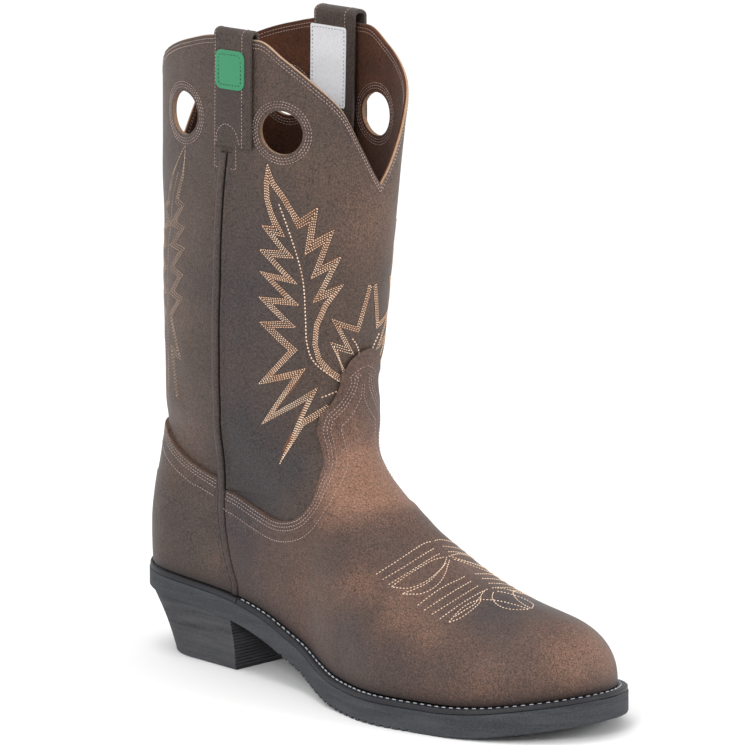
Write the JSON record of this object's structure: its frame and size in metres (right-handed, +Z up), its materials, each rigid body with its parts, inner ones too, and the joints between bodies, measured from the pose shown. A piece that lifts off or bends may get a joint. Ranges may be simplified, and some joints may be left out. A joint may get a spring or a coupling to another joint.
{
  "type": "western work boot",
  "caption": "Brown pull-on leather western work boot with stitched leg panels, scalloped collar, pull holes, pull straps, a welted rubber sole and a slanted block heel.",
  "frame": {"origin": "middle of the boot's outline, on the ground", "axes": "+X to the toe, +Y to the inner (big toe) side, +Z up"},
  "size_m": [0.3104, 0.112, 0.3423],
  "materials": {
    "leg_leather": "oiled pull-up leather, scuffed, satin",
    "vamp_leather": "oiled pull-up leather, burnished, satin",
    "strap_leather": "dark oiled leather, satin",
    "insole_board": "matt leather board",
    "welt_black": "satin black",
    "sole_rubber": "matt blue-grey",
    "heel_rubber": "matt dark grey"
  },
  "bodies": {
    "root": {"upper": "leg_leather", "vamp": "vamp_leather", "heel_counter": "vamp_leather", "side_seam_outer": "strap_leather", "side_seam_inner": "strap_leather", "pull_strap_outer": "strap_leather", "pull_strap_inner": "strap_leather", "insole": "insole_board", "welt": "welt_black", "heel_seat_rand": "welt_black", "outsole": "sole_rubber", "heel": "heel_rubber"}
  },
  "joints": []
}
